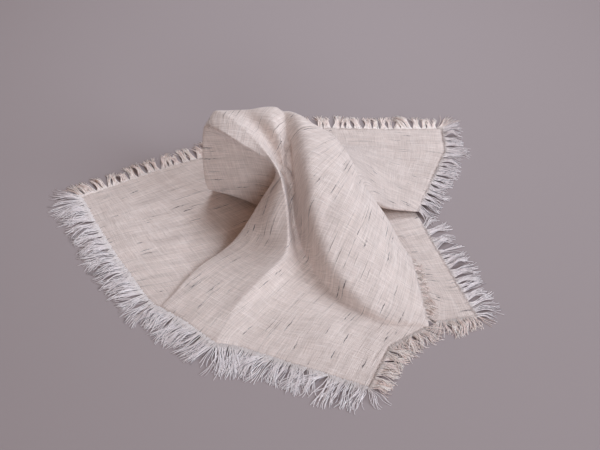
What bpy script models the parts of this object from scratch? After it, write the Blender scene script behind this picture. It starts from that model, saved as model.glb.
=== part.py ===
"""Folded cloth napkin: one square handwoven cloth with a fringe left on all four sides, pinched up at
its middle into a leaning hood and let down again, so that two opposite corners lie under pleats.

The cloth is a thin sheet.  Its folds are listed below one by one, each as the way it runs from the
front hem, over the hood, to the back hem.  Millimetres in the tables, metres in the scene.
"""
import bpy
import bmesh
import math
import numpy as np

# Driving sizes of the cloth, in mm.
THICK = 1.4              # a soft plain weave
TURN = 3.0               # how far apart the two layers of a sharp fold lie, middle to middle
LIE = THICK / 2          # height of the middle of the cloth where it lies flat
STEPS_ALONG = 3          # mesh steps between two places along a fold
HEM_SOFTNESS = 0.12      # share of a fold's rounding left at the hem, so that the corners stay square
MOST_BENT = 0.45         # the most of the reach between two folds that one bend takes up
ORIGIN = (-35.0, -30.1)  # middle of the footprint in the table's frame

# Driving sizes of the fringe, in mm.
STRIP = 2.4              # width of the strip the fringe hangs from
STRIP_THICK = 1.3        # its thickness
PARTED = 0.5             # air between the cloth's edge and that strip
OFF_TABLE = 0.05         # a hem that is higher than the flat cloth by this no longer lies on the table
DRIFT = 0.8              # how far a lock's tip strays to its side

# The folds, in order from the left corner to the lower corner.  Each one passes these places, in
# order from the front hem to the back hem.
PLACES = ("front_hem", "front", "foot", "panel", "brow", "brim", "crown", "rear", "back", "back_hem")

# The columns: the fold's name, how much cloth its bend takes (mm), whether it is sharp (True where two
# layers lie on each other), and x, y, height at each place.  None: straight between its neighbours.
NAME, BEND, SHARP, WAY = range(4)
F = LIE
FOLDS = (
    ("left corner", 0, False,
     ((-251, 47, F), None, None, None, None, None, None, None, None, (-251, 47, F))),
    ("left flap", 40, False,
     ((-204, -43, F), None, None, None, None, None, None, None, None, (-166, 95, F))),
    ("flap inner", 24, False,
     ((-162, -111, F), (-110, -97, F), (-54, -54, F), (-44, -34, F), (-38, -14, F),
      (-42, 2, F), (-50, 16, F), (-58, 34, F), (-66, 98, F), (-82, 135, F))),
    ("valley", 1.6, True,
     ((-150, -126, F), (-100, -97, 2.4), (-42, -54, 2.6), (-26, -32, 3), (-16, -12, 4),
      (-20, 4, 4), (-30, 14, 4.5), (-42, 24, 5.5), (-57, 98, 2.4), (-75, 139, F))),
    ("wall", 12, False,
     ((-146, -129, 1.2), (-104, -86, 4.4), (-58, -48, 6.5), (-16, -18, 40), (-6, 2, 66),
      (-30, 18, 86), (-62, 34, 78), (-72, 33, 14), (-66, 80, 6), (-70, 142, 1))),
    ("lip", 1.6, True,
     ((-142, -132, 2.4), (-108, -76, 6.2), (-75, -43, 9), (-42, -16, 48), (-25, -9, 87),
      (-64, 9, 108), (-101, 46, 100), (-103, 43, 17), (-86, 92, 7.5), (-65, 144, 1.6))),
    ("panel", 12, False,
     ((-116, -152, 3), (-88, -92, 8.5), (-46, -55, 17), (-32, -47, 47), (-25, -14, 89),
      (-55, 7, 110), (-99, 49, 105), (-100, 52, 24), (-78, 100, 7.5), (-56, 149, F))),
    ("ridge", 1.8, False,
     ((-84, -183, 5), (-63, -132, 11), (-14, -75, 31), (-13, -46, 58), (-22, -20, 92),
      (-50, 13, 114), (-92, 61, 110), (-90, 70, 38), (-64, 116, 6.5), (-21, 168, F))),
    ("soft valley", 7, False,
     ((-62, -183, F), (-43, -139, 3.5), (-5, -76, 15), (-11, -33, 38), (-17, -10, 72),
      (-36, 24, 101), (-65, 56, 115), (-64, 88, 46), (-34, 132, 5), (34, 176, F))),
    ("front flap", 24, False,
     ((67, -236, F), (36, -175, 1.5), (4, -98, 7), (-9, -33, 34), (-15, -6, 74),
      (-25, 22, 115), (-41, 50, 122), (-40, 96, 50), (-2, 140, 4), (67, 175, F))),
    ("front bend", 14, False,
     ((90, -182, F), (56, -159, 1.5), (11, -96, 7), (-6, -34, 31.5), (-12, -6, 71),
      (-18, 20, 107), (-26, 49, 124), (-24, 98, 50), (20, 142, 4), (84, 175, F))),
    ("crease", 4, False,
     ((130, -155, 1), (78, -147, 2.4), (20, -94, 8), (-3, -37, 30), (-9, -6, 68),
      (-13, 16, 97), (-17, 49, 117.5), (-8, 98, 50), (42, 141, 3.5), (101, 174, F))),
    ("cone fold", 11, False,
     ((129, -151, 4.8), (83, -148, 10.5), (38, -112, 31), (16, -71, 61), (8, -34, 98),
      (3, 6, 117), (-4, 37, 125), (16, 90, 52), (84, 132, 3), (175, 176, F))),
    ("cone side", 40, False,
     ((124, -107, 7.5), (91, -85, 31), (69, -67, 53), (52, -45, 78), (39, -19, 97),
      (27, 5, 111), (13, 28, 120), (38, 70, 56), (108, 92, 6), (174, 129, F))),
    ("side fold", 1.6, True,
     ((117, -64, 9), (106, -53, 22), (94, -37, 38), (79, -23, 55), (65, -15, 73),
      (53, 2, 92), (35, 21, 108), (54, 31, 50), (85, 14, 19), (130, 15, 6.5))),
    ("inner", 20, False,
     ((112, -92, 5.4), (84, -56, 14), (62, -38, 26), (48, -24, 34), (42, -10, 44),
      (38, 2, 52), (36, 12, 54), (46, 20, 26), (78, 24, 9), (116, 40, 4.4))),
    ("under", 1.6, True,
     ((106, -116, 2.6), (66, -92, 2.6), (46, -66, 2.6), (36, -42, 2.6), (30, -20, 2.6),
      (28, 0, 2.6), (28, 18, 2.6), (40, 36, 2.6), (74, 52, 2.6), (112, 66, 2.4))),
    ("lower flap", 40, False,
     ((138, -150, F), (96, -100, F), (84, -76, F), (80, -60, F), (78, -46, F),
      (78, -32, F), (80, -20, F), (88, -8, F), (108, 0, F), (137, -2, F))),
    ("lower corner", 0, False,
     ((180, -140, F), None, None, None, None, None, None, None, None, (180, -140, F))),
)

# Colours of the yarns.
CLOTH_COLOUR = (0.78, 0.73, 0.68, 1.0)
SILVER = (0.76, 0.74, 0.77, 1.0)     # ends of the grey yarns
CREAM = (0.86, 0.81, 0.73, 1.0)      # ends of the cream yarns

# The fringe, one row for each run of hem that shows it, walked with the outside on its right hand:
# the hem, the folds it runs between, how far along that run it starts and ends (0 to 1), number of
# locks, their length, their lean from straight out (degrees), the height their tips rest at, colour.
FRINGES = (
    ("fringe_front_left", "front", "left corner", "front flap", 0.005, 0.985, 56, 30, -6, 0.0, SILVER),
    ("fringe_front_corner", "front", "front flap", "crease", 0.04, 0.78, 11, 21, -3, 0.0, CREAM),
    ("fringe_top_layer", "front", "cone fold", "side fold", 0.10, 0.96, 12, 18, 0, 2.0, CREAM),
    ("fringe_right_corner", "front", "lower flap", "lower corner", 0.20, 0.95, 5, 20, 2, 0.0, CREAM),
    ("fringe_right", "back", "lower corner", "lower flap", 0.03, 0.99, 18, 26, 4, 0.0, SILVER),
    ("fringe_back_corner", "back", "side fold", "cone fold", 0.12, 0.97, 15, 22, -4, 0.0, SILVER),
    ("fringe_back", "back", "cone fold", "left corner", 0.01, 0.99, 54, 19, 5, 0.0, CREAM),
)

# A lock's sections beyond its root: how far out (share of its length), its width (share of its root's)
# and its thickness, mm.
LOCK_SECTIONS = (
    (0.45, 0.62, 1.1),
    (1.0, 0.26, 0.8),
)

# The locks lean, fall short and drift in waves along the hem, so that no two neighbours are alike.
LEAN_WAVES = (
    # degrees, radians from one lock to the next, where the wave starts
    (5.0, 0.9, 0.0),
    (3.0, 2.3, 1.0),
)
SHORTFALL = 0.14         # share of its length that a lock falls short by, on average
SHORTFALL_PACE = 1.7     # radians from one lock to the next
DRIFT_PACE = 1.3         # radians from one lock to the next


def clear_scene():
    """Start from an empty scene."""
    for old in list(bpy.data.objects):
        bpy.data.objects.remove(old, do_unlink=True)


def filled(places):
    """Every place of a fold, those left out lying straight between their neighbours."""
    known = [i for i, place in enumerate(places) if place is not None]
    table = np.array([places[i] for i in known], float)
    spots = np.arange(len(places))
    return np.stack([np.interp(spots, known, table[:, k]) for k in range(3)], axis=1)


def run_of(points, steps):
    """A smooth line through the points, easing at each one to the shorter of its two reaches."""
    legs = np.diff(points, axis=0)
    reach = np.linalg.norm(legs, axis=1) + 1e-9
    ease = np.zeros_like(points)
    ease[0] = legs[0]
    ease[-1] = legs[-1]
    for i in range(1, len(points) - 1):
        before, after = reach[i - 1], reach[i]
        heading = (legs[i - 1] / before * after + legs[i] / after * before) / (before + after)
        ease[i] = heading * min(before, after)
    line = []
    for i in range(len(points) - 1):
        for step in range(steps):
            t = step / steps
            line.append((2 * t**3 - 3 * t**2 + 1) * points[i] + (t**3 - 2 * t**2 + t) * ease[i]
                        + (3 * t**2 - 2 * t**3) * points[i + 1] + (t**3 - t**2) * ease[i + 1])
    line.append(points[-1])
    line = np.array(line)
    line[:, 2] = np.maximum(line[:, 2], LIE)
    return line


def section_through(corners, rounds, sharps, softness):
    """The cloth's section across all the folds: straight reaches, each bend rounded; a sharp fold
    is two bends a layer's distance apart."""
    way = [corners[0]]
    bends = [0.0]
    for i in range(1, len(corners) - 1):
        back = corners[i - 1] - corners[i]
        on = corners[i + 1] - corners[i]
        back = back / (np.linalg.norm(back) + 1e-9)
        on = on / (np.linalg.norm(on) + 1e-9)
        if sharps[i]:
            apart = back - on
            apart = apart / (np.linalg.norm(apart) + 1e-9) * TURN / 2
            way.append(corners[i] + apart)
            way.append(corners[i] - apart)
            bends.extend((rounds[i], rounds[i]))
        else:
            way.append(corners[i])
            bends.append(rounds[i] * softness)
    way.append(corners[-1])
    bends.append(0.0)
    line = [way[0]]
    for i in range(1, len(way) - 1):
        to_back = way[i - 1] - way[i]
        to_next = way[i + 1] - way[i]
        reach_back = np.linalg.norm(to_back) + 1e-9
        reach_next = np.linalg.norm(to_next) + 1e-9
        start = way[i] + to_back * min(bends[i] / reach_back, MOST_BENT)
        end = way[i] + to_next * min(bends[i] / reach_next, MOST_BENT)
        line.append(start)
        line.append(0.25 * start + 0.5 * way[i] + 0.25 * end)
        line.append(end)
    line.append(way[-1])
    line = np.array(line)
    line[:, 2] = np.maximum(line[:, 2], LIE)
    return line


def sheet_grid():
    """Points of the cloth's middle: first index across the folds, second along them."""
    runs = np.array([run_of(filled(fold[WAY]), STEPS_ALONG) for fold in FOLDS])
    rounds = [fold[BEND] for fold in FOLDS]
    sharps = [fold[SHARP] for fold in FOLDS]
    sections = []
    for j in range(runs.shape[1]):
        from_hem = min(j, runs.shape[1] - 1 - j) / STEPS_ALONG
        softness = min(1.0, HEM_SOFTNESS + from_hem)
        sections.append(section_through(runs[:, j], rounds, sharps, softness))
    return np.array(sections).transpose(1, 0, 2)


def place(point):
    """A point of the tables, in metres from the middle of the footprint."""
    return ((point[0] - ORIGIN[0]) / 1000.0, (point[1] - ORIGIN[1]) / 1000.0, point[2] / 1000.0)


def matt_yarn(name, colour):
    """Matt spun yarn of one colour."""
    material = bpy.data.materials.new(name)
    material.use_nodes = True
    shader = material.node_tree.nodes["Principled BSDF"]
    shader.inputs["Base Color"].default_value = colour
    shader.inputs["Roughness"].default_value = 0.9
    shader.inputs["Metallic"].default_value = 0.0
    return material


def piece_from(bm, name, colour, collection):
    """The finished piece: its faces all turned outward and cut into triangles."""
    bmesh.ops.recalc_face_normals(bm, faces=bm.faces)
    bmesh.ops.triangulate(bm, faces=bm.faces)
    mesh = bpy.data.meshes.new(name)
    bm.to_mesh(mesh)
    bm.free()
    mesh.materials.append(matt_yarn(name, colour))
    piece = bpy.data.objects.new(name, mesh)
    collection.objects.link(piece)
    return piece


def make_cloth(grid, collection):
    """The woven square: one thin sheet through the grid's points, pointed at two corners."""
    across, along = grid.shape[:2]
    bm = bmesh.new()
    first = bm.verts.new(place(grid[0, 0]))
    last = bm.verts.new(place(grid[-1, 0]))
    rows = [[bm.verts.new(place(p)) for p in grid[i]] for i in range(1, across - 1)]
    for j in range(along - 1):
        bm.faces.new((first, rows[0][j], rows[0][j + 1]))
        bm.faces.new((last, rows[-1][j + 1], rows[-1][j]))
        for lower, upper in zip(rows[:-1], rows[1:]):
            bm.faces.new((lower[j], upper[j], upper[j + 1], lower[j + 1]))
    cloth = piece_from(bm, "cloth", CLOTH_COLOUR, collection)
    thickness = cloth.modifiers.new("thickness", "SOLIDIFY")
    thickness.thickness = THICK / 1000.0
    thickness.offset = 0.0


def hem_run(grid, hem, first, last, start, end, count):
    """Evenly spaced points along a run of the hem, with the level direction outward at each."""
    side = grid[:, 0] if hem == "front" else grid[:, -1]
    spot = PLACES.index("front_hem" if hem == "front" else "back_hem")
    names = [fold[NAME] for fold in FOLDS]
    ends = []
    for name in (first, last):
        corner = np.array(FOLDS[names.index(name)][WAY][spot], float)
        ends.append(int(np.argmin(np.linalg.norm(side - corner, axis=1))))
    way = side[ends[0]:ends[1] + 1] if ends[0] < ends[1] else side[ends[1]:ends[0] + 1][::-1]
    reach = np.concatenate(([0.0], np.cumsum(np.linalg.norm(np.diff(way, axis=0), axis=1))))
    spots = np.linspace(start, end, count) * reach[-1]
    points = np.stack([np.interp(spots, reach, way[:, k]) for k in range(3)], axis=1)
    heading = np.gradient(points, axis=0)
    heading[:, 2] = 0.0
    heading /= np.linalg.norm(heading, axis=1)[:, None]
    return points, np.stack([heading[:, 1], -heading[:, 0], heading[:, 2]], axis=1)


def strip_section(bm, point, out):
    """The strip's section beside one point of the hem: its corners, its outer foot and its underside."""
    low = point[2] - STRIP_THICK / 2 if point[2] > LIE + OFF_TABLE else 0.0
    near = point + out * PARTED
    far = near + out * STRIP
    outline = ((near, low), (near, low + STRIP_THICK), (far, low + STRIP_THICK), (far, low))
    ring = [bm.verts.new(place((spot[0], spot[1], height))) for spot, height in outline]
    return ring, far, low


def join_rings(bm, ring, next_ring, without=None):
    """Faces between two sections of four corners, without the one that is left open."""
    for a in range(4):
        b = (a + 1) % 4
        if a != without:
            bm.faces.new((ring[a], ring[b], next_ring[b], next_ring[a]))


def grow_lock(bm, here, there, out, number, length, lean, rest, wave_start):
    """One lock of yarn ends, grown out of the strip's open outer face between two of its sections."""
    near_ring, near_foot, near_low = here
    next_ring, next_foot, next_low = there
    side = np.array((-out[1], out[0], 0.0))
    turn = math.radians(sum((size * math.sin(number * pace + start) for size, pace, start in LEAN_WAVES),
                            lean))
    way_out = out * math.cos(turn) + side * math.sin(turn)
    across = np.array((-way_out[1], way_out[0], 0.0))
    reach = length * (1.0 - SHORTFALL + SHORTFALL * math.sin(number * SHORTFALL_PACE + wave_start))
    root = (near_foot + next_foot) / 2
    half_root = np.linalg.norm(next_foot - near_foot) / 2
    facing = 1.0 if np.dot(next_foot - near_foot, across) > 0 else -1.0
    low = (near_low + next_low) / 2
    ring = [near_ring[2], near_ring[3], next_ring[3], next_ring[2]]
    for part, wide, thick in LOCK_SECTIONS:
        spot = root + way_out * reach * part + across * DRIFT * math.sin(number * DRIFT_PACE) * part
        height = rest + max(low - rest, 0.0) * (1.0 - part)
        half = half_root * wide
        grown = []
        for sign, lift in ((-facing, thick), (-facing, 0.0), (facing, 0.0), (facing, thick)):
            corner = spot + across * sign * half
            grown.append(bm.verts.new(place((corner[0], corner[1], height + lift))))
        join_rings(bm, ring, grown)
        ring = grown
    bm.faces.new(ring)


def make_fringe(grid, collection, name, hem, first, last, start, end, locks, length, lean, rest,
                colour):
    """A narrow strip beside the hem with its locks growing out of the strip's outer face."""
    points, outward = hem_run(grid, hem, first, last, start, end, locks * 2)
    bm = bmesh.new()
    sections = [strip_section(bm, point, out) for point, out in zip(points, outward)]
    bm.faces.new(sections[0][0])
    bm.faces.new(sections[-1][0][::-1])
    for k in range(len(sections) - 1):
        bears_lock = k % 2 == 0
        join_rings(bm, sections[k][0], sections[k + 1][0], without=2 if bears_lock else None)
        if bears_lock:
            out = outward[k] + outward[k + 1]
            out /= np.linalg.norm(out)
            grow_lock(bm, sections[k], sections[k + 1], out, k // 2, length, lean, rest, len(name))
    piece_from(bm, name, colour, collection)


clear_scene()
napkin = bpy.data.collections.new("folded_cloth_napkin")
bpy.context.scene.collection.children.link(napkin)
middle_of_cloth = sheet_grid()
make_cloth(middle_of_cloth, napkin)
for row in FRINGES:
    make_fringe(middle_of_cloth, napkin, *row)
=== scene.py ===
"""Folded cloth napkin, as it lies in the photo: a handwoven square with fringed edges, pinched up at
its middle so that it stands as a leaning hood over its own left flap."""
import bpy
import bmesh
import math
import numpy as np
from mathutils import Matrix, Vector, noise


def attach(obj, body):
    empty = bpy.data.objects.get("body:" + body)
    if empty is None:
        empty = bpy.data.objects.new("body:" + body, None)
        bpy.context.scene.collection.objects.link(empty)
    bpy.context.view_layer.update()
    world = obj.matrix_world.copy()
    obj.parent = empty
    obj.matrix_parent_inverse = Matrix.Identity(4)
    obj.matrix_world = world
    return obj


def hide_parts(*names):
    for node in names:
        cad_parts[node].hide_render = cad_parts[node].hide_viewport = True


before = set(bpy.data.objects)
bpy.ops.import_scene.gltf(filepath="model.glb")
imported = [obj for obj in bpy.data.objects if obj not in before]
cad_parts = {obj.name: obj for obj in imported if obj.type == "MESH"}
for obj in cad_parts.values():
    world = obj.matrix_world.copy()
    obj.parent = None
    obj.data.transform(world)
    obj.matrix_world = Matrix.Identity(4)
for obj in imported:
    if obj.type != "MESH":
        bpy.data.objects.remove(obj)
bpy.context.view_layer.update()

# The cloth: one square of natural linen, woven by hand in plain weave, about 1.4 mm thick as it
# lies.  It is a single sheet, drawn here fold by fold, from the corner under the hood's mouth to
# the corner under the other pleat; each fold runs from the front hem, over the hood, to the back hem.
MM = 0.001
SIDE = 450.0  # mm, each side of the woven square
THICK = 1.4  # mm
LIE = THICK / 2  # height of the middle of a layer that lies on the table
F = LIE  # the same, short enough for the table of folds
TURN = 3.0  # mm between the two layers of a sharp fold
SHIFT = (35.0, 30.1)  # mm, which brings the middle of the napkin over the origin
NAME, BEND, SHARP, FRONT_MARK, BACK_MARK, PLACES = range(6)
FOLDS = (
    # name, cloth taken into the bend, whether two layers lie on each other, where the fold meets the
    # front and the back hem (distance along the hem from the left corner), then its places: front
    # hem, front, foot, panel, brow, brim, crown, rear, back, back hem, all in mm
    ("left corner", 0, False, 0, 0,
     ((-251, 47, F), None, None, None, None, None, None, None, None, (-251, 47, F))),
    ("left flap", 40, False, 102, 98,
     ((-204, -43, F), None, None, None, None, None, None, None, None, (-166, 95, F))),
    ("flap inner", 24, False, 182, 191,
     ((-162, -111, F), (-110, -97, F), (-54, -54, F), (-44, -34, F), (-38, -14, F),
      (-42, 2, F), (-50, 16, F), (-58, 34, F), (-66, 98, F), (-82, 135, F))),
    ("valley", 1.6, True, 201, 199,
     ((-150, -126, F), (-100, -97, 2.4), (-42, -54, 2.6), (-26, -32, 3), (-16, -12, 4),
      (-20, 4, 4), (-30, 14, 4.5), (-42, 24, 5.5), (-57, 98, 2.4), (-75, 139, F))),
    ("wall", 12, False, 206, 205,
     ((-146, -129, 1.2), (-104, -86, 4.4), (-58, -48, 6.5), (-16, -18, 40), (-6, 2, 66),
      (-30, 18, 86), (-62, 34, 78), (-72, 33, 14), (-66, 80, 6), (-70, 142, 1))),
    ("lip", 1.6, True, 211, 211,
     ((-142, -132, 2.4), (-108, -76, 6.2), (-75, -43, 9), (-42, -16, 48), (-25, -9, 87),
      (-64, 9, 108), (-101, 46, 100), (-103, 43, 17), (-86, 92, 7.5), (-65, 144, 1.6))),
    ("panel", 12, False, 244, 221,
     ((-116, -152, 3), (-88, -92, 8.5), (-46, -55, 17), (-32, -47, 47), (-25, -14, 89),
      (-55, 7, 110), (-99, 49, 105), (-100, 52, 24), (-78, 100, 7.5), (-56, 149, F))),
    ("ridge", 1.8, False, 288, 261,
     ((-84, -183, 5), (-63, -132, 11), (-14, -75, 31), (-13, -46, 58), (-22, -20, 92),
      (-50, 13, 114), (-92, 61, 110), (-90, 70, 38), (-64, 116, 6.5), (-21, 168, F))),
    ("soft valley", 7, False, 310, 316,
     ((-62, -183, F), (-43, -139, 3.5), (-5, -76, 15), (-11, -33, 38), (-17, -10, 72),
      (-36, 24, 101), (-65, 56, 115), (-64, 88, 46), (-34, 132, 5), (34, 176, F))),
    ("front flap", 24, False, 450, 349,
     ((67, -236, F), (36, -175, 1.5), (4, -98, 7), (-9, -33, 34), (-15, -6, 74),
      (-25, 22, 115), (-41, 50, 122), (-40, 96, 50), (-2, 140, 4), (67, 175, F))),
    ("front bend", 14, False, 512, 366,
     ((90, -182, F), (56, -159, 1.5), (11, -96, 7), (-6, -34, 31.5), (-12, -6, 71),
      (-18, 20, 107), (-26, 49, 124), (-24, 98, 50), (20, 142, 4), (84, 175, F))),
    ("crease", 4, False, 564, 383,
     ((130, -155, 1), (78, -147, 2.4), (20, -94, 8), (-3, -37, 30), (-9, -6, 68),
      (-13, 16, 97), (-17, 49, 117.5), (-8, 98, 50), (42, 141, 3.5), (101, 174, F))),
    ("cone fold", 11, False, 569, 450,
     ((129, -151, 4.8), (83, -148, 10.5), (38, -112, 31), (16, -71, 61), (8, -34, 98),
      (3, 6, 117), (-4, 37, 125), (16, 90, 52), (84, 132, 3), (175, 176, F))),
    ("cone side", 40, False, 613, 497,
     ((124, -107, 7.5), (91, -85, 31), (69, -67, 53), (52, -45, 78), (39, -19, 97),
      (27, 5, 111), (13, 28, 120), (38, 70, 56), (108, 92, 6), (174, 129, F))),
    ("side fold", 1.6, True, 660, 611,
     ((117, -64, 9), (106, -53, 22), (94, -37, 38), (79, -23, 55), (65, -15, 73),
      (53, 2, 92), (35, 21, 108), (54, 31, 50), (85, 14, 19), (130, 15, 6.5))),
    ("inner", 20, False, 715, 645,
     ((112, -92, 5.4), (84, -56, 14), (62, -38, 26), (48, -24, 34), (42, -10, 44),
      (38, 2, 52), (36, 12, 54), (46, 20, 26), (78, 24, 9), (116, 40, 4.4))),
    ("under", 1.6, True, 760, 690,
     ((106, -116, 2.6), (66, -92, 2.6), (46, -66, 2.6), (36, -42, 2.6), (30, -20, 2.6),
      (28, 0, 2.6), (28, 18, 2.6), (40, 36, 2.6), (74, 52, 2.6), (112, 66, 2.4))),
    ("lower flap", 40, False, 855, 756,
     ((138, -150, F), (96, -100, F), (84, -76, F), (80, -60, F), (78, -46, F),
      (78, -32, F), (80, -20, F), (88, -8, F), (108, 0, F), (137, -2, F))),
    ("lower corner", 0, False, 900, 900,
     ((180, -140, F), None, None, None, None, None, None, None, None, (180, -140, F))),
)
STEPS_ALONG = 9  # sections between two places of a fold
BEND_STEPS = 4  # flats that round a bend
MOST_BENT = 0.45  # the largest share of a reach that a bend may take
REACH_STEP = 7.0  # mm, the flats of the reaches between bends
WIDE_PLACE = 80  # percentile of a reach's widths that its flats are counted for
HEM_SOFTNESS = 0.12  # how round the bends are at the hems, where they are pressed flat


def filled(places):
    """Every place of a fold, those left out lying straight between their neighbours."""
    known = [i for i, place in enumerate(places) if place is not None]
    table = np.array([places[i] for i in known], float)
    spots = np.arange(len(places))
    return np.stack([np.interp(spots, known, table[:, k]) for k in range(3)], axis=1)


def run_of(points, steps):
    """A smooth line through the points, easing at each one to the shorter of its two reaches."""
    legs = np.diff(points, axis=0)
    reach = np.linalg.norm(legs, axis=1) + 1e-9
    ease = np.zeros_like(points)
    ease[0] = legs[0]
    ease[-1] = legs[-1]
    for i in range(1, len(points) - 1):
        before, after = reach[i - 1], reach[i]
        heading = (legs[i - 1] / before * after + legs[i] / after * before) / (before + after)
        ease[i] = heading * min(before, after)
    line = []
    for i in range(len(points) - 1):
        for step in range(steps):
            t = step / steps
            line.append((2 * t**3 - 3 * t**2 + 1) * points[i] + (t**3 - 2 * t**2 + t) * ease[i]
                        + (3 * t**2 - 2 * t**3) * points[i + 1] + (t**3 - t**2) * ease[i + 1])
    line.append(points[-1])
    return np.array(line)


def corners_of(points, softness):
    """The bends of one section: a sharp fold is two bends a layer's distance apart."""
    way = [points[0]]
    bends = [0.0]
    for i in range(1, len(points) - 1):
        if FOLDS[i][SHARP]:
            back = points[i - 1] - points[i]
            on = points[i + 1] - points[i]
            apart = back / (np.linalg.norm(back) + 1e-9) - on / (np.linalg.norm(on) + 1e-9)
            apart = apart / (np.linalg.norm(apart) + 1e-9) * TURN / 2
            way.extend((points[i] + apart, points[i] - apart))
            bends.extend((FOLDS[i][BEND], FOLDS[i][BEND]))
        else:
            way.append(points[i])
            bends.append(FOLDS[i][BEND] * softness)
    way.append(points[-1])
    bends.append(0.0)
    return np.array(way), bends


def rounded(way, bends, counts):
    """The section with its bends rounded and its reaches divided evenly."""
    line = [way[0]]
    last = way[0]
    for i in range(1, len(way)):
        if i < len(way) - 1:
            to_back = way[i - 1] - way[i]
            to_next = way[i + 1] - way[i]
            start = way[i] + to_back * min(bends[i] / (np.linalg.norm(to_back) + 1e-9), MOST_BENT)
            end = way[i] + to_next * min(bends[i] / (np.linalg.norm(to_next) + 1e-9), MOST_BENT)
        else:
            start = way[i]
        for k in range(1, counts[i - 1] + 1):
            line.append(last + (start - last) * k / counts[i - 1])
        if i < len(way) - 1:
            for k in range(1, BEND_STEPS + 1):
                t = k / BEND_STEPS
                line.append((1 - t) ** 2 * start + 2 * t * (1 - t) * way[i] + t * t * end)
            last = end
    line = np.array(line)
    line[:, 2] = np.maximum(line[:, 2], LIE)
    return line


runs = np.array([run_of(filled(fold[PLACES]), STEPS_ALONG) for fold in FOLDS])
along = runs.shape[1]
ways = []
for j in range(along):
    from_hem = min(j, along - 1 - j) / STEPS_ALONG
    ways.append(corners_of(runs[:, j], min(1.0, HEM_SOFTNESS + from_hem)))
widths = np.array([np.linalg.norm(np.diff(way, axis=0), axis=1) for way, bends in ways])
counts = [max(1, int(math.ceil(np.percentile(widths[:, i], WIDE_PLACE) / REACH_STEP)))
          for i in range(widths.shape[1])]
grid = np.array([rounded(way, bends, counts) for way, bends in ways]).transpose(1, 0, 2)
rows = grid.shape[0]

# A washed cloth doesn't fall quite smooth: it lifts and dips a little between its folds, less where
# it lies under another layer and less at the hems.  How far, in mm, at each fold.
UNEVEN = {"left corner": 0.5, "left flap": 1.3, "flap inner": 0.3, "valley": 0.0, "wall": 1.0,
          "lip": 0.3, "panel": 1.2, "ridge": 1.3, "soft valley": 1.6, "front flap": 2.0,
          "front bend": 1.2, "crease": 0.6, "cone fold": 1.6, "cone side": 2.6, "side fold": 0.3,
          "inner": 0.5, "under": 0.0, "lower flap": 1.0, "lower corner": 0.4}
BROAD_WAVES = 42.0  # mm
FINE_WAVES = 17.0  # mm
FINE_SHARE = 0.45  # how strong the fine waves are beside the broad ones
WAVES_APART = Vector((3.0, 1.0, 7.0))  # keeps the broad and the fine waves from falling together
HEM_CALM = 0.45  # how much of the unevenness there is at a hem
HEM_SECTIONS = 6.0  # sections inward from a hem by which there is all of it
LOW = 6.0  # mm above the table, below which the cloth lifts more than it dips
LOW_LIFT = 0.35  # how much more
row_at = {}
for fold, run in zip(FOLDS, runs):
    away = np.linalg.norm(grid[:, along // 2] - run[along // 2], axis=1)
    row_at[fold[NAME]] = int(np.argmin(away))
row_at["left corner"] = 0
row_at["lower corner"] = rows - 1
uneven = np.interp(np.arange(rows), list(row_at.values()), [UNEVEN[name] for name in row_at])
facing = np.cross(np.gradient(grid, axis=0), np.gradient(grid, axis=1))
facing /= np.linalg.norm(facing, axis=2)[:, :, None] + 1e-9
facing *= np.sign(facing[rows // 2, along // 3, 2] + 1e-9)
for i in range(1, rows - 1):
    for j in range(along):
        spot = Vector(grid[i, j])
        broad = noise.noise(spot / BROAD_WAVES + WAVES_APART)
        wave = broad + FINE_SHARE * noise.noise(spot / FINE_WAVES)
        inward = HEM_CALM + (1.0 - HEM_CALM) * min(1.0, min(j, along - 1 - j) / HEM_SECTIONS)
        grid[i, j] = grid[i, j] + facing[i, j] * wave * uneven[i] * inward
        if grid[i, j, 2] < LIE + LOW:
            grid[i, j, 2] = max(LIE, grid[i, j, 2] + LOW_LIFT * uneven[i] * max(wave, 0.0))


def beside_line(points, start, end):
    """How far along a line each point is, 0 to 1, and how far it is from the line."""
    start, end = np.array(start, float), np.array(end, float)
    line = end - start
    reach = (points - start) @ line / (line @ line)
    nearest = start + np.clip(reach, 0.0, 1.0)[:, :, None] * line
    return reach, np.linalg.norm(points - nearest, axis=2)


# A few soft creases in the flat parts, each pressed in: from and to (mm), its half width, how
# far the cloth stands up beside it.
CREASES = (
    ((66, 152), (176, 150), 3.0, 1.5),
    ((-232, 12), (-104, 24), 4.0, 1.3),
    ((-196, -36), (-70, 2), 5.0, 1.6),
    ((-12, -150), (60, -176), 6.0, 2.2),
    ((112, -40), (150, -66), 4.0, 1.2),
)
BESIDE = 2.2  # where the cloth stands up most, in half widths from the line
FADE = 0.75  # how far from its middle a crease has faded out, its length being 1
LYING_LOW = 5.0  # mm above the table, below which the cloth takes a crease
LOOSE = 0.9  # unevenness, above which it isn't held down by another layer
for start, end, half, height in CREASES:
    reach, away = beside_line(grid[:, :, :2], start, end)
    fade = np.clip(1.0 - np.abs(reach - 0.5) / FADE, 0.0, 1.0)
    beside = np.exp(-((away - BESIDE * half) / half) ** 2) * fade
    lying = (grid[:, :, 2] < LIE + LYING_LOW) & (uneven[:, None] > LOOSE)
    grid[:, :, 2] += np.where(lying, beside * height, 0.0)

# The sharp line that falls from the hood's top into the crease: from and to (mm), half width, depth.
PINCHES = (
    ((-20, 54, 118), (-13, 16, 97), 2.6, 2.8),
    ((-13, 16, 97), (-8, -14, 60), 5.0, 4.5),
)
for start, end, half, depth in PINCHES:
    reach, away = beside_line(grid, start, end)
    grid -= facing * (np.exp(-(away / half) ** 2) * depth)[:, :, None]

# The cloth's two hems as it lies: the first and the last section of the sheet.
HEMS = {"front": 0, "back": -1}


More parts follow.
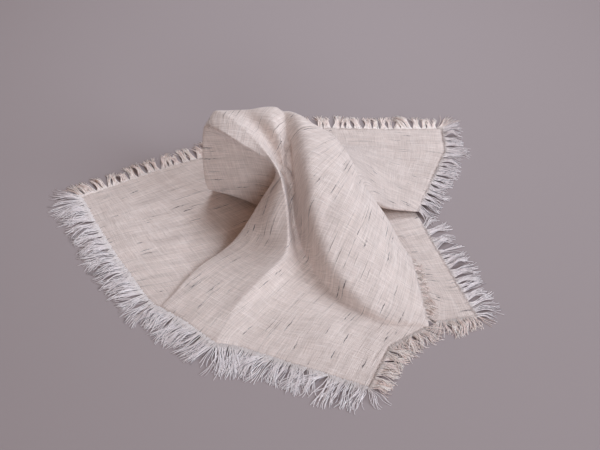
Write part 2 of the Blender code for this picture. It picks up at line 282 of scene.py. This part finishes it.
def on_hem(hem, fold):
    """Which point of a hem is the one where a fold meets it."""
    corner = np.array(fold[PLACES][HEMS[hem]], float)
    return int(np.argmin(np.linalg.norm(grid[:, HEMS[hem]] - corner, axis=1)))


def distances_along(points):
    """How far along a line each of its points is."""
    return np.concatenate(([0.0], np.cumsum(np.linalg.norm(np.diff(points, axis=0), axis=1))))


def cloth_position(hem, distance):
    """Where a point of the hem is in the flat cloth, mm from the left corner along its two sides."""
    if hem == "front":
        return (0.0, distance) if distance <= SIDE else (distance - SIDE, SIDE)
    return (distance, 0.0) if distance <= SIDE else (SIDE, distance - SIDE)


def hem_positions(hem):
    """For every point of a hem, its position in the flat cloth, between the folds' known ones."""
    reach = distances_along(grid[:, HEMS[hem]])
    spots = [reach[on_hem(hem, fold)] for fold in FOLDS]
    spots[0] = 0.0
    spots[-1] = reach[-1]
    marks = [fold[FRONT_MARK if hem == "front" else BACK_MARK] for fold in FOLDS]
    return [cloth_position(hem, d) for d in np.interp(reach, spots, marks)]


def placed(point):
    """A point of the folded cloth, in metres from the middle of the napkin."""
    return Vector(((point[0] + SHIFT[0]) * MM, (point[1] + SHIFT[1]) * MM, point[2] * MM))


# The sheet itself is a net of faces that runs to a point at the two corners it starts and ends with.
# It is flattened once, with as little stretch as it allows, to find how the weave lies on it.
bm = bmesh.new()
first = bm.verts.new(placed(grid[0, 0]))
last = bm.verts.new(placed(grid[-1, 0]))
net = [[first] * along]
for i in range(1, rows - 1):
    net.append([bm.verts.new(placed(p)) for p in grid[i]])
net.append([last] * along)
for i in range(rows - 1):
    for j in range(along - 1):
        ring = (net[i][j], net[i + 1][j], net[i + 1][j + 1], net[i][j + 1])
        ring = [v for k, v in enumerate(ring) if v is not ring[k - 1]]
        bm.faces.new(ring)
bm.verts.index_update()
net_index = [[v.index for v in row] for row in net]
pins = {}
for hem in HEMS:
    for i, spot in enumerate(hem_positions(hem)):
        pins[net[i][HEMS[hem]].index] = (spot[0] / SIDE, spot[1] / SIDE)
weave = bm.loops.layers.uv.new("weave")
rough = {}
for i in range(rows):
    near = Vector(pins[net[i][0].index])
    far = Vector(pins[net[i][-1].index])
    for j in range(along):
        rough[net[i][j].index] = near.lerp(far, j / (along - 1))
for face in bm.faces:
    face.smooth = True
    for loop in face.loops:
        loop[weave].uv = rough[loop.vert.index]
cloth_mesh = bpy.data.meshes.new("cloth")
bm.to_mesh(cloth_mesh)
bm.free()
cloth = bpy.data.objects.new("napkin_cloth", cloth_mesh)
bpy.context.scene.collection.objects.link(cloth)
bpy.context.view_layer.objects.active = cloth
cloth.select_set(True)
bpy.ops.object.mode_set(mode="EDIT")
bpy.ops.mesh.select_all(action="SELECT")
bpy.ops.uv.unwrap(method="MINIMUM_STRETCH", margin=0.0)
bpy.ops.object.mode_set(mode="OBJECT")
cloth.select_set(False)

# The woven pattern has to lie along the threads, so the flattened sheet is turned and eased until its
# hem lies on the square it was cut as.
EASED_IN = 70.0  # mm in from the hem over which the flattened sheet is eased
corner_of_loop = np.zeros(len(cloth_mesh.loops), int)
cloth_mesh.loops.foreach_get("vertex_index", corner_of_loop)
loop_uv = np.zeros(len(cloth_mesh.loops) * 2)
cloth_mesh.uv_layers["weave"].data.foreach_get("uv", loop_uv)
flat = np.zeros((len(cloth_mesh.vertices), 2))
flat[corner_of_loop] = loop_uv.reshape(-1, 2)
solid_at = np.zeros(len(cloth_mesh.vertices) * 3)
cloth_mesh.vertices.foreach_get("co", solid_at)
solid_at = solid_at.reshape(-1, 3) / MM
pairs = np.zeros(len(cloth_mesh.edges) * 2, int)
cloth_mesh.edges.foreach_get("vertices", pairs)
pairs = pairs.reshape(-1, 2)
real_length = np.linalg.norm(solid_at[pairs[:, 0]] - solid_at[pairs[:, 1]], axis=1).sum()
flat_length = np.linalg.norm(flat[pairs[:, 0]] - flat[pairs[:, 1]], axis=1).sum()
flat *= real_length / flat_length
hem_index = np.array(sorted(pins))
hem_target = np.array([pins[i] for i in hem_index]) * SIDE
best = None
for mirrored in (1.0, -1.0):
    here = flat[hem_index] * (1.0, mirrored)
    mid_here, mid_there = here.mean(axis=0), hem_target.mean(axis=0)
    a, b = here - mid_here, hem_target - mid_there
    turn = math.atan2((a[:, 0] * b[:, 1] - a[:, 1] * b[:, 0]).sum(), (a * b).sum())
    rotation = np.array(((math.cos(turn), -math.sin(turn)), (math.sin(turn), math.cos(turn))))
    miss = np.abs(a @ rotation.T - b).mean()
    if best is None or miss < best[0]:
        best = (miss, (flat * (1.0, mirrored) - mid_here) @ rotation.T + mid_there)
flat = best[1]
ease_by = hem_target - flat[hem_index]
threads = np.zeros_like(flat)
for i in range(len(flat)):
    away = np.linalg.norm(flat[i] - flat[hem_index], axis=1)
    pull = 1.0 / (away + 1.0) ** 3
    threads[i] = flat[i] + (pull[:, None] * ease_by).sum(axis=0) / (pull.sum() + 1.0 / EASED_IN**3)
threads[hem_index] = hem_target
threads_at = threads[corner_of_loop]

# Where the cloth is drawn up into the hood and the cone, its yarns hang towards the front.  The
# flattened sheet is turned that way there, face by face, and joined up again as evenly as it goes.
HANG = np.array((-0.05, -0.95, -0.15))  # which way the yarns hang
HANGS_FROM = 8.0  # mm above the table
HANGS_WITHIN = 30.0  # mm more, by which the yarns hang fully
HELD_OVER = 35.0  # mm over which the lower cloth holds the yarns where they lay
EASING_ROUNDS = 700
row_of = np.full(len(cloth_mesh.vertices), -1)
for i in range(1, rows - 1):
    row_of[net_index[i]] = i
drawn_up = [face for face in cloth_mesh.polygons
            if all(row_at["lip"] <= row_of[v] <= row_at["side fold"] for v in face.vertices)]
corners = np.array([(face.vertices[0], face.vertices[k], face.vertices[k + 1])
                    for face in drawn_up for k in range(1, len(face.vertices) - 1)])
spots = solid_at[corners]
upright = np.cross(spots[:, 1] - spots[:, 0], spots[:, 2] - spots[:, 0])
double_area = np.linalg.norm(upright, axis=1)[:, None] + 1e-9
upright /= double_area
slopes = np.stack([np.cross(upright, spots[:, (k + 2) % 3] - spots[:, (k + 1) % 3]) / double_area
                   for k in range(3)], axis=1)
along_s = (threads[corners][:, :, 0, None] * slopes).sum(axis=1)
along_t = (threads[corners][:, :, 1, None] * slopes).sum(axis=1)
along_s /= np.linalg.norm(along_s, axis=1)[:, None] + 1e-9
hang = HANG - upright * (upright @ HANG)[:, None]
hang /= np.linalg.norm(hang, axis=1)[:, None] + 1e-9
hang *= np.sign((along_s * hang).sum())
raised = np.clip((spots[:, :, 2].mean(axis=1) - HANGS_FROM) / HANGS_WITHIN, 0.0, 1.0)[:, None]
wanted_s = along_s * (1.0 - raised) + hang * raised
wanted_s /= np.linalg.norm(wanted_s, axis=1)[:, None] + 1e-9
turned = np.sign((np.cross(upright, along_s) * along_t).sum())
wanted_t = np.cross(upright, wanted_s) * turned
stiff = (slopes[:, :, None] * slopes[:, None]).sum(axis=3) * double_area[:, :, None] / 2
size = len(cloth_mesh.vertices)
held = np.bincount(corners.ravel(), np.repeat((1.0 - raised) * double_area / 6, 3), size)
held /= HELD_OVER**2


def pulled(values):
    """How strongly each point is drawn by its neighbours and by where it lay before."""
    spread = (stiff * values[corners][:, None]).sum(axis=2)
    return np.bincount(corners.ravel(), spread.ravel(), size) + held * values


for axis, wanted in ((0, wanted_s), (1, wanted_t)):
    aim = (slopes * wanted[:, None]).sum(axis=2) * double_area / 2
    aim = np.bincount(corners.ravel(), aim.ravel(), size) + held * threads[:, axis]
    eased = threads[:, axis].copy()
    left = aim - pulled(eased)
    step = left.copy()
    for _ in range(EASING_ROUNDS):
        drawn = pulled(step)
        stride = (left @ left) / (step @ drawn + 1e-12)
        eased = eased + stride * step
        rest = left - stride * drawn
        step = rest + (rest @ rest) / (left @ left + 1e-12) * step
        left = rest
    for face in drawn_up:
        for loop in face.loop_indices:
            threads_at[loop, axis] = eased[corner_of_loop[loop]]

# Inside the hood the yarns lie level, as on the flap that the hood's inner layer grows out of.
WALL_SLANT = 0.25  # rise of the yarns for each mm along them
WALL_APART = 700.0  # mm, to a stretch of the weave that shows nowhere else
wall_rows = range(row_at["valley"] + 1, row_at["lip"])
inner_wall = {v for i in wall_rows for v in net_index[i]}
wall_edge = {v for i in (wall_rows[0] - 1, wall_rows[-1] + 1) for v in net_index[i]}
for face in cloth_mesh.polygons:
    if all(v in inner_wall or v in wall_edge for v in face.vertices):
        for loop in face.loop_indices:
            x, y, z = solid_at[corner_of_loop[loop]]
            threads_at[loop] = (x + WALL_SLANT * z + WALL_APART, z - WALL_SLANT * x + WALL_APART)
cloth_mesh.uv_layers["weave"].data.foreach_set("uv", (threads_at / SIDE).ravel())

# The sheet's thickness, thinner at the hems, where the last yarns have nothing to hold them.
HEM_THIN = 0.3  # share of the full thickness
thickness = cloth.modifiers.new("thickness", "SOLIDIFY")
thickness.thickness = THICK * MM
thickness.offset = 0.0
full = cloth.vertex_groups.new(name="full_thickness")
at_hem = {v for i in range(rows) for v in (net_index[i][0], net_index[i][-1])}
for i in range(len(cloth_mesh.vertices)):
    full.add([i], HEM_THIN if i in at_hem else 1.0, "REPLACE")
thickness.vertex_group = "full_thickness"


def shader_node(material, kind, place, **settings):
    """A shader node with its own settings, such as the kind of sum it does."""
    node = material.node_tree.nodes.new(kind)
    node.location = place
    for name, value in settings.items():
        setattr(node, name, value)
    return node


# Natural linen: unbleached yarns of uneven shade in both directions, greyer along one set of yarns,
# and slubs, the thick dark places that hand-spun yarn has.
linen = bpy.data.materials.new("natural_linen")
linen.use_nodes = True
wires = linen.node_tree.links
shader = linen.node_tree.nodes["Principled BSDF"]
uv = shader_node(linen, "ShaderNodeUVMap", (-1800, 0), uv_map="weave")


def stretched(along_s, along_t, shift, place):
    """The weave's coordinates in millimetres, drawn out along one set of yarns and moved by a shift, so
    that no two patterns fall together."""
    mapping = shader_node(linen, "ShaderNodeMapping", place)
    mapping.inputs["Scale"].default_value = (SIDE / along_s, SIDE / along_t, 1.0)
    mapping.inputs["Location"].default_value = (shift, shift * 0.7, shift * 1.3)
    wires.new(uv.outputs["UV"], mapping.inputs["Vector"])
    return mapping.outputs["Vector"]


def grain(along_s, along_t, shift, detail, place):
    """Uneven shade drawn out along the yarns: its length and width are in millimetres."""
    texture = shader_node(linen, "ShaderNodeTexNoise", place)
    texture.inputs["Scale"].default_value = 1.0
    texture.inputs["Detail"].default_value = detail
    wires.new(stretched(along_s, along_t, shift, (place[0] - 200, place[1])), texture.inputs["Vector"])
    return texture.outputs["Fac"]


def band(value, low, high, to_low, to_high, place):
    """A value moved from one range to another, and kept inside it."""
    ranged = shader_node(linen, "ShaderNodeMapRange", place)
    ranged.inputs["From Min"].default_value = low
    ranged.inputs["From Max"].default_value = high
    ranged.inputs["To Min"].default_value = to_low
    ranged.inputs["To Max"].default_value = to_high
    wires.new(value, ranged.inputs["Value"])
    return ranged.outputs["Result"]


def laid_over(amount, below, above, place):
    """One colour laid over another by an amount."""
    mix = shader_node(linen, "ShaderNodeMix", place, data_type="RGBA", blend_type="MIX")
    for socket, value in (("Factor", amount), ("A", below), ("B", above)):
        target = [i for i in mix.inputs if i.name == socket and i.enabled][0]
        if isinstance(value, (float, tuple)):
            target.default_value = value
        else:
            wires.new(value, target)
    return [o for o in mix.outputs if o.enabled][0]


SLUB_EDGE = (0.16, 0.44)  # from a slub's middle, where it begins to fade and where it has faded out
BREAKS = (0.36, 0.52)  # the noise levels between which a slub breaks off
BREAK_LENGTH = 0.22  # the length of a break, a slub's own being 1
CROOKED = 1.6  # how far a slub wanders across its yarn, in widths


def slubs(length, width, shift, share, place):
    """Thick dark places in the yarns that run along the first side: drawn-out cells, few of them dark,
    each broken up along its yarn."""
    cells = shader_node(linen, "ShaderNodeTexVoronoi", place, feature="F1")
    cells.inputs["Scale"].default_value = 1.0
    cells.inputs["Randomness"].default_value = 1.0
    crooked = shader_node(linen, "ShaderNodeVectorMath", (place[0] - 100, place[1]),
                          operation="MULTIPLY_ADD")
    wires.new(grain(5.0, 4.0, shift + 9.0, 2.0, (place[0] - 500, place[1])), crooked.inputs[0])
    crooked.inputs[1].default_value = (0.0, CROOKED, 0.0)
    wires.new(stretched(length, width, shift, (place[0] - 200, place[1])), crooked.inputs[2])
    wires.new(crooked.outputs["Vector"], cells.inputs["Vector"])
    split = shader_node(linen, "ShaderNodeSeparateColor", (place[0] + 200, place[1] - 100))
    wires.new(cells.outputs["Color"], split.inputs["Color"])
    picked = shader_node(linen, "ShaderNodeMath", (place[0] + 400, place[1] - 100),
                         operation="LESS_THAN")
    picked.inputs[1].default_value = share
    wires.new(split.outputs["Red"], picked.inputs[0])
    value = band(cells.outputs["Distance"], *SLUB_EDGE, 1.0, 0.0, (place[0] + 400, place[1] + 100))
    broken = band(grain(length * BREAK_LENGTH, width, shift + 5.0, 1.0, (place[0], place[1] - 150)),
                  *BREAKS, 0.0, 1.0, (place[0] + 400, place[1] - 50))
    for mask, shift_x in ((picked.outputs["Value"], 600), (broken, 750)):
        both = shader_node(linen, "ShaderNodeMath", (place[0] + shift_x, place[1]),
                           operation="MULTIPLY")
        wires.new(value, both.inputs[0])
        wires.new(mask, both.inputs[1])
        value = both.outputs["Value"]
    return value


BASE = (0.735, 0.580, 0.500, 1.0)
GREY_YARN = (0.46, 0.36, 0.31, 1.0)
PALE_YARN = (0.89, 0.75, 0.67, 1.0)
DARK_SLUB = (0.050, 0.045, 0.048, 1.0)
BROWN_SLUB = (0.26, 0.20, 0.17, 1.0)
STREAKS = (
    # reach along the first and the second side (mm), shift that sets each apart, the noise levels
    # where it begins and where it is full, how strong it is there, its colour
    (45.0, 0.8, 3.0, 0.47, 0.72, 0.85, GREY_YARN),
    (0.7, 18.0, 61.0, 0.50, 0.74, 0.60, GREY_YARN),
    (0.7, 22.0, 8.0, 0.48, 0.72, 0.60, PALE_YARN),
    (16.0, 0.7, 15.0, 0.50, 0.72, 0.70, PALE_YARN),
    (30.0, 12.0, 27.0, 0.38, 0.68, 0.30, GREY_YARN),
)
SLUBS = (
    # length and width of the cells (mm), shift, share of them that are dark, their colour
    (26.0, 1.5, 5.0, 0.050, DARK_SLUB),
    (44.0, 1.25, 21.0, 0.100, BROWN_SLUB),
    (14.0, 2.0, 36.0, 0.017, DARK_SLUB),
)
NODE_STEP = 300  # how far apart the rows of nodes stand
colour = BASE
height = 2 * NODE_STEP
for reach_s, reach_t, shift, low, high, most, shade in STREAKS:
    streak = band(grain(reach_s, reach_t, shift, 3.0, (-1500, height)), low, high, 0.0, most,
                  (-1200, height))
    colour = laid_over(streak, colour, shade, (-900, height))
    height -= NODE_STEP
for length, width, shift, share, shade in SLUBS:
    colour = laid_over(slubs(length, width, shift, share, (-1200, height)), colour, shade, (0, height))
    height -= NODE_STEP
wires.new(colour, shader.inputs["Base Color"])
shader.inputs["Roughness"].default_value = 0.92
shader.inputs["Specular IOR Level"].default_value = 0.15
shader.inputs["Sheen Weight"].default_value = 0.25
shader.inputs["Sheen Roughness"].default_value = 0.5

# The weave stands out a little: each yarn is a low ridge, in both directions.
yarns_s = grain(14.0, 0.95, 41.0, 1.0, (-1200, height))
yarns_t = grain(0.95, 12.0, 52.0, 1.0, (-1200, height - NODE_STEP))
relief = shader_node(linen, "ShaderNodeMath", (-600, height), operation="ADD")
wires.new(yarns_s, relief.inputs[0])
wires.new(yarns_t, relief.inputs[1])
bump = shader_node(linen, "ShaderNodeBump", (-300, height))
bump.inputs["Strength"].default_value = 0.7
bump.inputs["Distance"].default_value = 0.9 * MM
wires.new(relief.outputs["Value"], bump.inputs["Height"])
wires.new(bump.outputs["Normal"], shader.inputs["Normal"])
cloth_mesh.materials.append(linen)
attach(cloth, "root")
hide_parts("cloth")

# The fringe: the cloth's own yarn ends, left loose where the outermost yarns across them were drawn
# out.  On two sides of the square they are the grey-white yarns, long and wispy; on the other two the
# cream ones, shorter and gathered into soft locks.
FRINGES = (
    # which fringe, hem, folds it runs between, the part of that run it covers (0 to 1), yarns per mm,
    # length (mm), mm of hem to a lock, how far a lock draws together, how far each yarn strays from
    # its lock, lean (degrees), height its tips rest at (mm)
    ("fringe_front_left", "front", ("left corner", "front flap"), (0.0, 1.0),
     2.3, 33, 7, 0.30, 1.2, -6, 0.3),
    ("fringe_front_corner", "front", ("front flap", "crease"), (0.01, 0.97),
     2.4, 21, 6, 0.35, 1.3, -3, 0.3),
    ("fringe_top_layer", "front", ("cone fold", "side fold"), (0.03, 1.0),
     1.0, 12, 6, 0.6, 1.2, 0, 1.7),
    ("fringe_right_corner", "front", ("lower flap", "lower corner"), (0.0, 1.0),
     2.4, 22, 6, 0.5, 1.0, 2, 0.3),
    ("fringe_right", "back", ("lower corner", "lower flap"), (0.0, 1.0),
     2.0, 27, 10, 0.66, 0.9, 4, 0.3),
    ("fringe_back_corner", "back", ("side fold", "cone fold"), (0.02, 1.0),
     2.0, 24, 9, 0.55, 1.0, -4, 0.3),
    ("fringe_back", "back", ("cone fold", "left corner"), (0.0, 1.0),
     2.6, 24, 9, 0.62, 0.6, 5, 0.3),
)
SILVER = {"fringe_front_left", "fringe_right", "fringe_back_corner"}
HEM_EASINGS = 6  # times the hem's direction is evened out along a long run
LONG_RUN = 40  # yarns, above which a run is a long one


def hem_between(hem, folds):
    """The hem's points from one fold to another, and how far along it each of them is."""
    first, last = [on_hem(hem, fold) for name in folds for fold in FOLDS if fold[NAME] == name]
    side = grid[:, HEMS[hem]]
    way = side[first:last + 1] if first < last else side[last:first + 1][::-1]
    return way, distances_along(way)


def yarn_roots(way, reach, part, count):
    """Evenly spaced points along part of a hem, with the level direction outward at each."""
    spots = np.linspace(part[0], part[1], count) * reach[-1]
    points = np.stack([np.interp(spots, reach, way[:, k]) for k in range(3)], axis=1)
    wide = np.gradient(points, axis=0)
    for _ in range(HEM_EASINGS):
        if count > LONG_RUN:
            wide = (np.roll(wide, 1, axis=0) + wide + np.roll(wide, -1, axis=0)) / 3
        wide[0] = wide[1]
        wide[-1] = wide[-2]
    wide[:, 2] = 0.0
    wide /= np.linalg.norm(wide, axis=1)[:, None]
    return points, np.stack([wide[:, 1], -wide[:, 0], wide[:, 2]], axis=1)


# Dull spun yarn, in two colours.  Near the hem an end is painted in the cloth's pale yarn colour:
# partly the look of the cloth it comes out of, partly painted light, paler than the cloth to hide the
# shade on the roots.
ROOT_LOOK_AND_LIGHT = (0.04, 0.30)  # shares of a yarn's length between which the painted pale colour fades out
ROOT_PALE_AND_PAINTED_LIGHT = 0.7  # how much of the cloth's pale yarn it has at the hem, partly painted light against the shade there
SHADE_STEP = 0.18  # how soon the shades turn from dark to light
BRIGHTEST = 1.13  # the brightest yarn, beside the light one


def yarn_material(name, light, dark, share_dark):
    """Dull spun yarn: each loose end has its own shade, a few of them dark."""
    yarn = bpy.data.materials.new(name)
    yarn.use_nodes = True
    links = yarn.node_tree.links
    shade = shader_node(yarn, "ShaderNodeAttribute", (-1100, 300), attribute_name="shade")
    ramp = shader_node(yarn, "ShaderNodeValToRGB", (-900, 300))
    ramp.color_ramp.elements[0].position = share_dark
    ramp.color_ramp.elements[0].color = dark
    ramp.color_ramp.elements[1].position = share_dark + SHADE_STEP
    ramp.color_ramp.elements[1].color = light
    brightest = ramp.color_ramp.elements.new(1.0)
    brightest.color = tuple(min(1.0, c * BRIGHTEST) for c in light[:3]) + (1.0,)
    links.new(shade.outputs["Fac"], ramp.inputs["Fac"])
    from_hem = shader_node(yarn, "ShaderNodeAttribute", (-1100, 0), attribute_name="from_hem")
    cloth_look_and_painted_light = shader_node(yarn, "ShaderNodeMapRange", (-900, 0))
    cloth_look_and_painted_light.inputs["From Min"].default_value = ROOT_LOOK_AND_LIGHT[0]
    cloth_look_and_painted_light.inputs["From Max"].default_value = ROOT_LOOK_AND_LIGHT[1]
    cloth_look_and_painted_light.inputs["To Min"].default_value = ROOT_PALE_AND_PAINTED_LIGHT
    cloth_look_and_painted_light.inputs["To Max"].default_value = 0.0
    links.new(from_hem.outputs["Fac"], cloth_look_and_painted_light.inputs["Value"])
    # near the hem each end is painted towards the pale yarn colour: partly the cloth's look, partly
    # painted light to lift the shade on the roots
    blend = shader_node(yarn, "ShaderNodeMix", (-500, 200), data_type="RGBA")
    below, above = [i for i in blend.inputs if i.name in ("A", "B") and i.enabled]
    links.new(cloth_look_and_painted_light.outputs["Result"], blend.inputs["Factor"])
    links.new(ramp.outputs["Color"], below)
    above.default_value = PALE_YARN
    fuzz = shader_node(yarn, "ShaderNodeTexNoise", (-900, -300))
    fuzz.inputs["Scale"].default_value = 900.0
    lift = shader_node(yarn, "ShaderNodeBump", (-500, -300))
    lift.inputs["Strength"].default_value = 0.5
    lift.inputs["Distance"].default_value = 0.4 * MM
    links.new(fuzz.outputs["Fac"], lift.inputs["Height"])
    skin = yarn.node_tree.nodes["Principled BSDF"]
    links.new(lift.outputs["Normal"], skin.inputs["Normal"])
    links.new([o for o in blend.outputs if o.enabled][0], skin.inputs["Base Color"])
    skin.inputs["Roughness"].default_value = 0.85
    skin.inputs["Specular IOR Level"].default_value = 0.2
    skin.inputs["Sheen Weight"].default_value = 0.3
    return yarn


silver_yarn = yarn_material("grey_white_yarn", (0.93, 0.79, 0.75, 1.0), (0.28, 0.23, 0.23, 1.0), 0.035)
cream_yarn = yarn_material("cream_yarn", (1.0, 0.78, 0.69, 1.0), (0.70, 0.50, 0.40, 1.0), 0.03)

# How the yarns lie: no two locks and no two yarns alike, and spread out like a fan at a corner.
YARN_RADIUS = 0.42  # mm
YARN_RINGS = 9  # sections along a yarn
YARN_SIDES = 3
SIDE_TURN = 2.094  # radians, a third of a turn
TAPER = 0.35  # how much thinner a yarn is at its tip
SPLAY = 40.0  # degrees that the outermost yarn of a run leans out
SPLAY_REACH = 14.0  # mm of hem over which they lean out
LOCK_LEAST, LOCK_MORE = 0.6, 0.8  # a lock's share of its usual width, and what chance adds
LOCK_LEANS = 12.0  # degrees by which locks differ
YARN_LEANS = 8.0  # degrees, by which the yarns of a lock do
LOCK_LENGTHS = 0.12  # share of the length by which locks differ
SHORTEST, LONGER = 0.78, 0.26  # a yarn's share of its lock's length, and what chance adds
LOCK_LIFTS = 1.6  # mm that a lock stands up at its middle
YARN_LIFTS = 1.2  # mm, that a yarn does by itself
LOCK_CURLS = 3.0  # mm that a lock's tip bends aside
YARN_CURLS = 2.4  # mm, that a yarn's does by itself
FULL_TURN = 6.28  # radians
YARN_WAVES = 2.2  # radians by which the waves of a lock's yarns differ
WAVINESS = 8.0  # radians of wave along a yarn
CALM_SWING, STRAY_SWING = 0.6, 1.2  # mm, width of the waves, and what straying adds
LEAST_SWING = 0.25  # share of that width that every yarn has
ROOT_LEAST, ROOT_MORE = 0.8, 2.6  # mm that a yarn starts inside the hem, and what chance adds
ROOT_LIFT = 0.9  # mm that it starts above the middle of the cloth
SINKING = 1.7  # how soon a yarn comes down to the table: 1 is at its tip, 2 at its middle
DRAWN_BY = 0.35  # share of a yarn's length by which a lock has drawn together
FREE_FROM = 0.6  # share of its length from which it opens again
OPENING = 1.2  # how fast it does


def yarn_ends(name, hem, folds, part, per_mm, length, lock, draw, stray, lean, rest):
    """One run of fringe as a single mesh of thin three-sided yarns."""
    way, reach_along = hem_between(hem, folds)
    run_length = reach_along[-1] * (part[1] - part[0])
    count = int(run_length * per_mm)
    points, outward = yarn_roots(way, reach_along, part, count)
    position = np.linspace(0.0, run_length, count)
    edges = [0.0]
    while edges[-1] < run_length:
        edges.append(edges[-1] + lock * (LOCK_LEAST + LOCK_MORE * seeded.rand()))
    locks = np.searchsorted(edges, position, side="right")
    lock_lean = seeded.randn(locks.max() + 2) * LOCK_LEANS
    lock_long = 1.0 + seeded.randn(locks.max() + 2) * LOCK_LENGTHS
    lock_lift = np.abs(seeded.randn(locks.max() + 2)) * LOCK_LIFTS
    lock_curl = seeded.randn(locks.max() + 2) * LOCK_CURLS
    lock_wave = seeded.rand(locks.max() + 2) * FULL_TURN
    vertices = []
    shades = []
    alongs = []
    for k in range(count):
        out = outward[k]
        side = np.array((-out[1], out[0], 0.0))
        group = locks[k]
        centre = (edges[group - 1] + edges[min(group, len(edges) - 1)]) / 2
        at_end = max(0.0, 1.0 - (run_length - position[k]) / SPLAY_REACH)
        at_start = max(0.0, 1.0 - position[k] / SPLAY_REACH)
        turn = lean + lock_lean[group] + seeded.randn() * YARN_LEANS * stray
        turn = math.radians(turn + (at_end - at_start) * SPLAY)
        heading = out * math.cos(turn) + side * math.sin(turn)
        reach = length * lock_long[group] * (SHORTEST + LONGER * seeded.rand())
        gather = (centre - position[k]) * draw
        wave = lock_wave[group] + seeded.rand() * YARN_WAVES
        root = ROOT_LEAST + ROOT_MORE * seeded.rand()
        swing = CALM_SWING + STRAY_SWING * stray
        swing = swing * (LEAST_SWING + (1.0 - LEAST_SWING) * seeded.rand())
        curl = lock_curl[group] + seeded.randn() * YARN_CURLS * stray
        lift = lock_lift[group] + seeded.rand() * YARN_LIFTS
        height = points[k][2]
        shade = seeded.rand()
        for r in range(YARN_RINGS):
            t = r / (YARN_RINGS - 1)
            spot = points[k] - out * root * (1 - t) ** 3 + heading * reach * t
            drawn = min(1.0, t / DRAWN_BY) * (1.0 - OPENING * max(0.0, t - FREE_FROM))
            spot = spot + side * gather * drawn
            aside = (math.sin(wave + t * WAVINESS) - math.sin(wave)) * swing * t + curl * t * t
            spot = spot + side * aside
            low = rest + YARN_RADIUS
            sag = height + (low - height) * min(1.0, t * SINKING) + ROOT_LIFT * (1 - t) ** 8
            z = max(low, sag + lift * math.sin(math.pi * t) ** 2)
            wide = YARN_RADIUS * (1.0 - TAPER * t)
            for corner in range(YARN_SIDES):
                angle = SIDE_TURN * corner
                across = spot + side * math.cos(angle) * wide
                vertices.append(placed((across[0], across[1], z + math.sin(angle) * wide)))
                shades.append(shade)
                alongs.append(t)
    faces = []
    for k in range(count):
        base = k * YARN_RINGS * YARN_SIDES
        for r in range(YARN_RINGS - 1):
            for corner in range(YARN_SIDES):
                a = base + r * YARN_SIDES + corner
                b = base + r * YARN_SIDES + (corner + 1) % YARN_SIDES
                faces.append((a, b, b + YARN_SIDES, a + YARN_SIDES))
        faces.append((base + 2, base + 1, base))
        tip = base + (YARN_RINGS - 1) * YARN_SIDES
        faces.append((tip, tip + 1, tip + 2))
    mesh = bpy.data.meshes.new(name)
    mesh.from_pydata(vertices, [], faces)
    mesh.attributes.new("shade", "FLOAT", "POINT").data.foreach_set("value", shades)
    mesh.attributes.new("from_hem", "FLOAT", "POINT").data.foreach_set("value", alongs)
    mesh.shade_smooth()
    mesh.materials.append(silver_yarn if name in SILVER else cream_yarn)
    yarns = bpy.data.objects.new(name + "_yarns", mesh)
    bpy.context.scene.collection.objects.link(yarns)
    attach(yarns, "root")
    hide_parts(name)


seeded = np.random.RandomState(11)
for fringe in FRINGES:
    yarn_ends(*fringe)

# The floor: a plain grey paper under the napkin, dull and level, and wide enough to fill the
# picture.
bpy.ops.mesh.primitive_plane_add(size=30.0, location=(0.0, 0.0, 0.0))
floor = bpy.context.active_object
floor.name = "floor"
paper = bpy.data.materials.new("grey_paper")
paper.use_nodes = True
surface = paper.node_tree.nodes["Principled BSDF"]
surface.inputs["Base Color"].default_value = (0.36, 0.290, 0.276, 1.0)
surface.inputs["Roughness"].default_value = 0.9
surface.inputs["Specular IOR Level"].default_value = 0.1
floor.data.materials.append(paper)

# The light: a broad window on the right, a small soft lamp above and a little behind the napkin, and
# a weaker window low in front, in a dim even room.  Each faces the napkin.
LIT = Vector((0.0, 0.0, 0.05))  # the middle of the napkin, m
LAMP_COLOUR = (0.79, 0.93, 1.10)
room = bpy.data.worlds.new("room")
bpy.context.scene.world = room
room.use_nodes = True
room.node_tree.nodes["Background"].inputs["Color"].default_value = (1.22, 0.88, 0.74, 1.0)
room.node_tree.nodes["Background"].inputs["Strength"].default_value = 0.18
for name, spot, size, power in (
    # place (m), width (m), strength (W)
    ("window", (2.75, -1.15, 1.9), 1.8, 77.0),
    ("lamp", (0.09, 0.62, 1.0), 0.5, 7.6),
    ("far_window", (0.32, -1.88, 0.45), 1.2, 20.0),
):
    lamp = bpy.data.lights.new(name, "AREA")
    lamp.size = size
    lamp.energy = power
    lamp.color = LAMP_COLOUR
    bulb = bpy.data.objects.new(name, lamp)
    bulb.location = spot
    bulb.rotation_euler = (LIT - Vector(spot)).to_track_quat("-Z", "Y").to_euler()
    bpy.context.scene.collection.objects.link(bulb)

# The camera: a long lens looking down at the table, as the photo was taken.  It aims at the folds'
# own origin.
LENS = 68.6  # mm, on a sensor 36 mm wide
LOOKS_DOWN = math.radians(42.0)
DISTANCE = 1.265  # m
camera = bpy.data.objects.new("camera", bpy.data.cameras.new("camera"))
camera.data.lens = LENS
camera.data.sensor_width = 36.0
aim = placed((0.0, 0.0, 0.0))
back, up = DISTANCE * math.cos(LOOKS_DOWN), DISTANCE * math.sin(LOOKS_DOWN)
camera.location = (aim.x, aim.y - back, up)
camera.rotation_euler = (math.pi / 2 - LOOKS_DOWN, 0.0, 0.0)
bpy.context.scene.collection.objects.link(camera)
bpy.context.scene.camera = camera
bpy.context.scene.view_settings.view_transform = "Standard"
